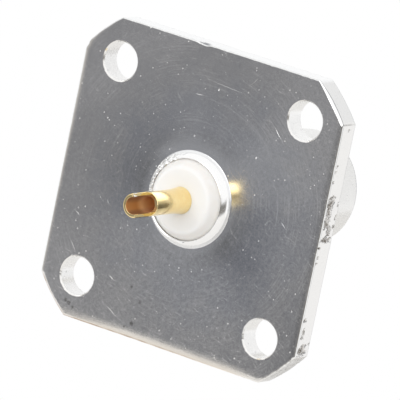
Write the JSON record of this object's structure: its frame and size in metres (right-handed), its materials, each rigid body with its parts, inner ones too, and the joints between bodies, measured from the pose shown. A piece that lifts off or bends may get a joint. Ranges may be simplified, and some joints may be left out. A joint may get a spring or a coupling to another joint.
{
  "type": "bnc connector",
  "caption": "Panel-mount BNC jack: square flange with corner screw holes, bayonet barrel in front, white insulator and gold solder cup behind.",
  "frame": {"origin": "centre of the flange's rear face, on the connector's axis", "axes": "+Y along the connector's axis towards the mating mouth, -Y towards the solder cup, +X and +Z along the flange's sides"},
  "size_m": [0.0254, 0.0266, 0.0254],
  "materials": {
    "plated_metal": "bright plating, finely scratched",
    "insulator": "white, machined smooth",
    "contact": "gold plated, bright"
  },
  "bodies": {
    "root": {"body": "plated_metal", "front_insulator": "insulator", "rear_insulator": "insulator", "centre_contact": "contact"}
  },
  "joints": []
}
